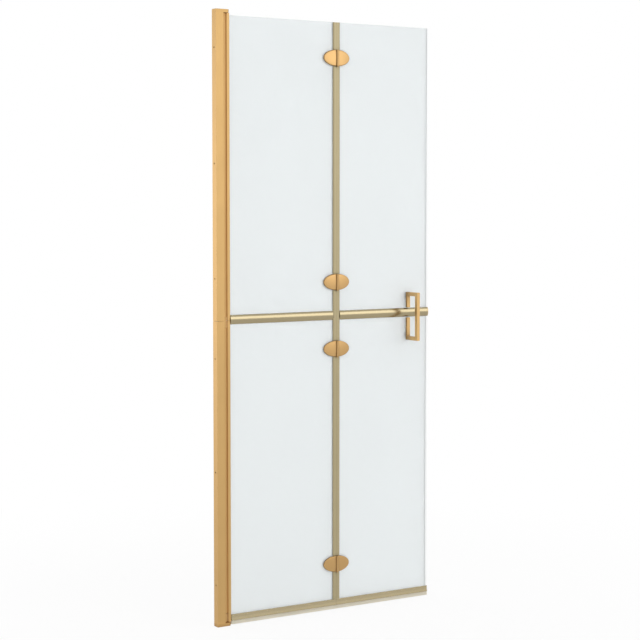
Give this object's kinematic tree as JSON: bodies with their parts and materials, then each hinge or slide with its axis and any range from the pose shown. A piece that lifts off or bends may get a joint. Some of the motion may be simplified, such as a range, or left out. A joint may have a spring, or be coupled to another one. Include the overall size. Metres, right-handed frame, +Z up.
{
  "type": "folding walk-in shower screen",
  "caption": "Two-leaf folding shower screen: frosted glass panes on a gold wall channel, with oval hinges, seals, rails and a pull handle.",
  "frame": {"origin": "on the wall face of the wall channel, in the middle plane of the glass, level with the channel's foot", "axes": "+X from the wall along the closed screen, +Y towards the back (the handle is on the -Y side), +Z up"},
  "size_m": [0.8, 0.0819, 1.9],
  "materials": {
    "gold_anodised": "satin gold anodised",
    "gold_cap": "satin gold",
    "gold_hinge": "satin gold plated",
    "champagne_rail": "polished champagne anodised",
    "champagne_seal": "champagne, slightly glossy",
    "sweep_strip": "translucent champagne",
    "clear_strip": "translucent, soft",
    "frosted_glass": "frosted, toughened",
    "steel": "stainless"
  },
  "bodies": {
    "wall_frame": {"adjusting_profile_lower": "gold_anodised", "adjusting_profile_upper": "gold_anodised", "bottom_cap": "gold_cap", "channel_joiner": "steel", "pivot_block_foot": "gold_cap", "pivot_block_middle": "gold_cap", "pivot_pins": "steel", "side_screws": "steel", "top_cap": "gold_cap", "wall_channel_lower": "gold_anodised", "wall_channel_upper": "gold_anodised"},
    "inner_leaf": {"bottom_rail_inner": "champagne_rail", "fold_seal_inner": "champagne_seal", "glass_inner_lower": "frosted_glass", "glass_inner_upper": "frosted_glass", "glazing_gasket_lower": "clear_strip", "glazing_gasket_upper": "clear_strip", "hinge_1_front_inner": "gold_hinge", "hinge_1_pin": "gold_hinge", "hinge_1_rear_inner": "gold_hinge", "hinge_2_front_inner": "gold_hinge", "hinge_2_pin": "gold_hinge", "hinge_2_rear_inner": "gold_hinge", "hinge_3_front_inner": "gold_hinge", "hinge_3_pin": "gold_hinge", "hinge_3_rear_inner": "gold_hinge", "hinge_4_front_inner": "gold_hinge", "hinge_4_pin": "gold_hinge", "hinge_4_rear_inner": "gold_hinge", "hinge_gaskets_inner": "clear_strip", "hinge_screws_inner": "steel", "mid_rail_inner": "champagne_rail", "pivot_profile_lower": "gold_anodised", "pivot_profile_upper": "gold_anodised", "sweep_inner": "sweep_strip"},
    "outer_leaf": {"bottom_rail_outer": "champagne_rail", "edge_seal": "clear_strip", "fold_seal_outer": "champagne_seal", "glass_outer_lower": "frosted_glass", "glass_outer_upper": "frosted_glass", "handle": "gold_anodised", "handle_pads": "clear_strip", "handle_screws": "steel", "hinge_1_front_outer": "gold_hinge", "hinge_1_rear_outer": "gold_hinge", "hinge_2_front_outer": "gold_hinge", "hinge_2_rear_outer": "gold_hinge", "hinge_3_front_outer": "gold_hinge", "hinge_3_rear_outer": "gold_hinge", "hinge_4_front_outer": "gold_hinge", "hinge_4_rear_outer": "gold_hinge", "hinge_gaskets_outer": "clear_strip", "hinge_screws_outer": "steel", "mid_rail_end_cap": "gold_cap", "mid_rail_outer": "champagne_rail", "sweep_outer": "sweep_strip"}
  },
  "joints": [
    {"name": "wall_pivot", "type": "hinge", "parent": "wall_frame", "child": "inner_leaf", "pos_m": [0.033, 0, 0], "axis": [0, 0, 1], "range_deg": [-85, 90]},
    {"name": "leaf_fold", "type": "hinge", "parent": "inner_leaf", "child": "outer_leaf", "pos_m": [0.439, -0.012, 0], "axis": [0, 0, -1], "range_deg": [0, 165]}
  ]
}
